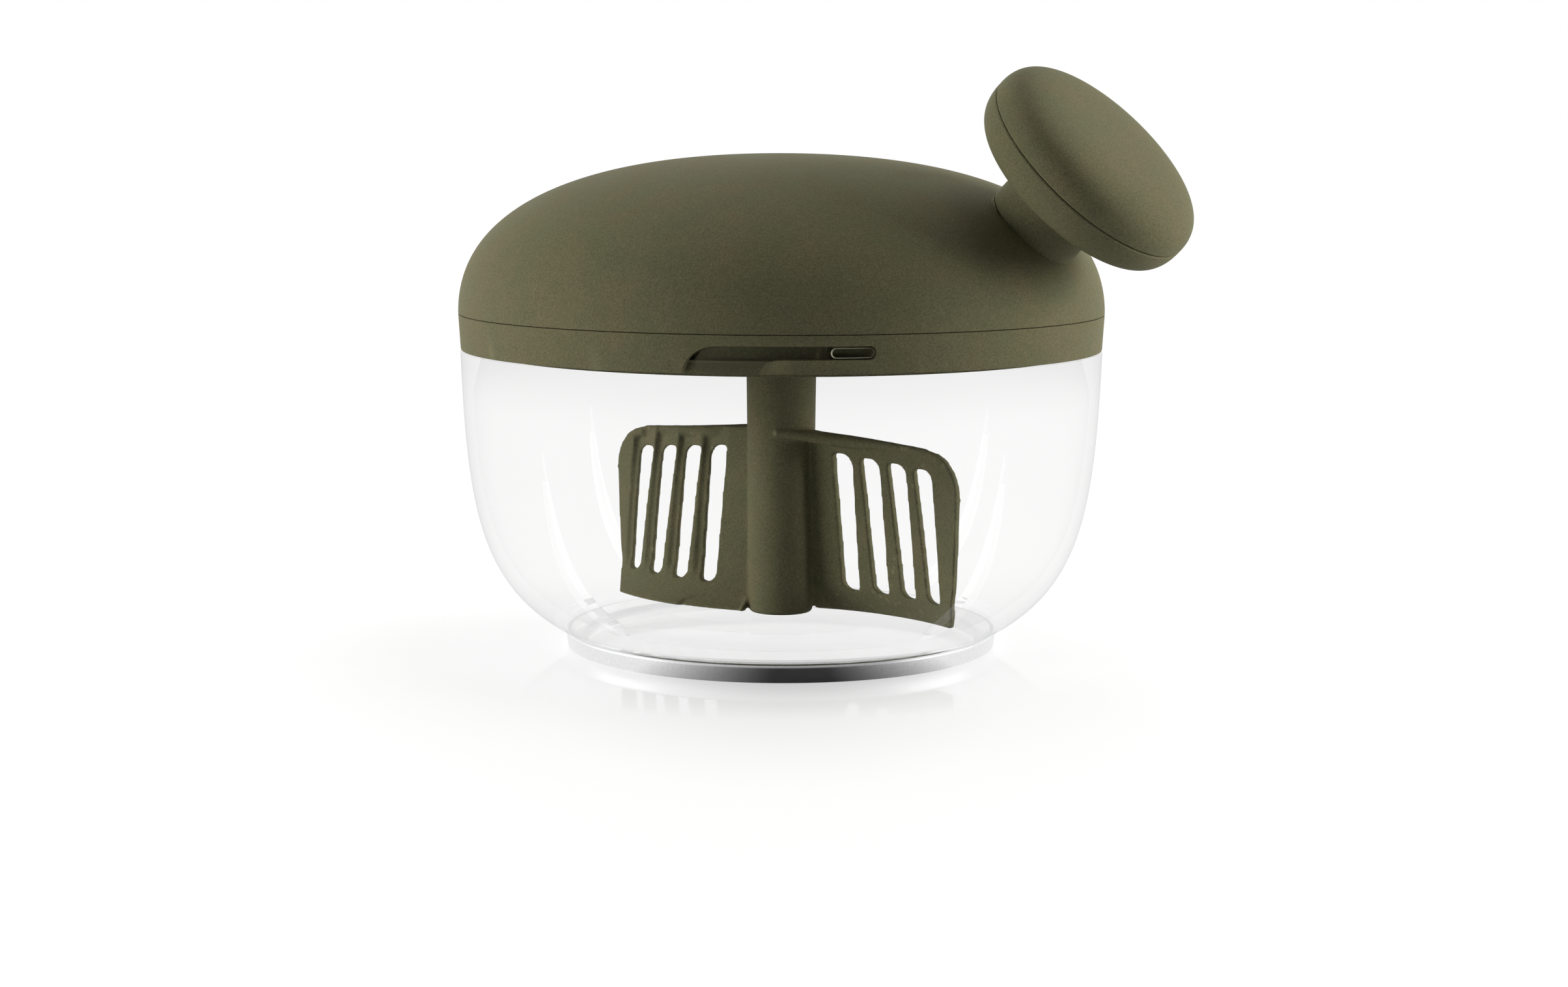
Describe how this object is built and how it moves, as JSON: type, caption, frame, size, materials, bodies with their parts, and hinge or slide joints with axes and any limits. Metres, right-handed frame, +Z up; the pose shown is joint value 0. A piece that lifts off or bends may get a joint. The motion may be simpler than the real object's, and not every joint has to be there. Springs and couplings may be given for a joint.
{
  "type": "hand cranked food chopper",
  "caption": "Hand cranked food chopper: clear round bowl, bayonet lid, domed crank with a tilted palm knob, planetary drive and a slotted two-blade mixing tool.",
  "frame": {"origin": "centre of the foot ring's underside, on the surface that the chopper stands on", "axes": "+Z up along the crank's axis; -Y is the front, where the bayonet slot and its lug show; the knob leans out towards +X and -Y"},
  "size_m": [0.1654, 0.15, 0.1341],
  "materials": {
    "clear_plastic": "clear, polished",
    "foot_rubber": "satin",
    "olive_plastic": "matte, fine moulded grain",
    "dark_olive_plastic": "satin",
    "seal_rubber": "matte",
    "white_acetal": "satin",
    "bronze": "turned",
    "steel": "turned"
  },
  "bodies": {
    "bowl": {"bowl": "clear_plastic", "foot_ring": "foot_rubber"},
    "lid": {"lid_ring": "olive_plastic", "lid_seal": "seal_rubber", "gear_plate": "dark_olive_plastic", "spindle_bush": "bronze", "planet_pin_1": "steel", "planet_pin_2": "steel", "planet_pin_3": "steel", "plate_screw_1": "steel", "plate_screw_2": "steel", "plate_screw_3": "steel"},
    "dome": {"dome_cover": "olive_plastic", "ring_gear": "white_acetal", "retaining_ring": "white_acetal", "glide_ring": "white_acetal", "dome_screw_1": "steel", "dome_screw_2": "steel", "dome_screw_3": "steel", "knob_axle": "steel", "axle_washer": "steel", "axle_screw": "steel"},
    "knob": {"knob_base": "olive_plastic", "knob_cap": "olive_plastic", "knob_bush": "white_acetal"},
    "planet_1": {"planet_gear_1": "white_acetal"},
    "planet_2": {"planet_gear_2": "white_acetal"},
    "planet_3": {"planet_gear_3": "white_acetal"},
    "tool": {"sun_gear": "white_acetal", "drive_spindle": "steel", "spindle_clip": "steel", "mixing_tool": "olive_plastic"}
  },
  "joints": [
    {"name": "lid_twist", "type": "hinge", "parent": "bowl", "child": "lid", "pos_m": [0, 0, 0.073], "axis": [0, 0, 1], "range_deg": [0, 20.4]},
    {"name": "dome_spin", "type": "hinge", "parent": "lid", "child": "dome", "pos_m": [0, 0, 0.084], "axis": [0, 0, 1], "continuous": true},
    {"name": "knob_spin", "type": "hinge", "parent": "dome", "child": "knob", "pos_m": [0.0564, -0.03253, 0.09997], "axis": [0.6027, -0.3895, 0.6964], "continuous": true},
    {"name": "planet_1_spin", "type": "hinge", "parent": "lid", "child": "planet_1", "pos_m": [0, 0.027, 0.0772], "axis": [0, 0, 1], "continuous": true},
    {"name": "planet_2_spin", "type": "hinge", "parent": "lid", "child": "planet_2", "pos_m": [-0.02338, -0.0135, 0.0772], "axis": [0, 0, 1], "continuous": true},
    {"name": "planet_3_spin", "type": "hinge", "parent": "lid", "child": "planet_3", "pos_m": [0.02338, -0.0135, 0.0772], "axis": [0, 0, 1], "continuous": true},
    {"name": "tool_spin", "type": "hinge", "parent": "lid", "child": "tool", "pos_m": [0, 0, 0.0772], "axis": [0, 0, 1], "continuous": true}
  ],
  "couplings": [
    {"joint": "planet_1_spin", "follows": "dome_spin", "ratio": 3},
    {"joint": "planet_2_spin", "follows": "dome_spin", "ratio": 3},
    {"joint": "planet_3_spin", "follows": "dome_spin", "ratio": 3},
    {"joint": "tool_spin", "follows": "dome_spin", "ratio": -3}
  ]
}
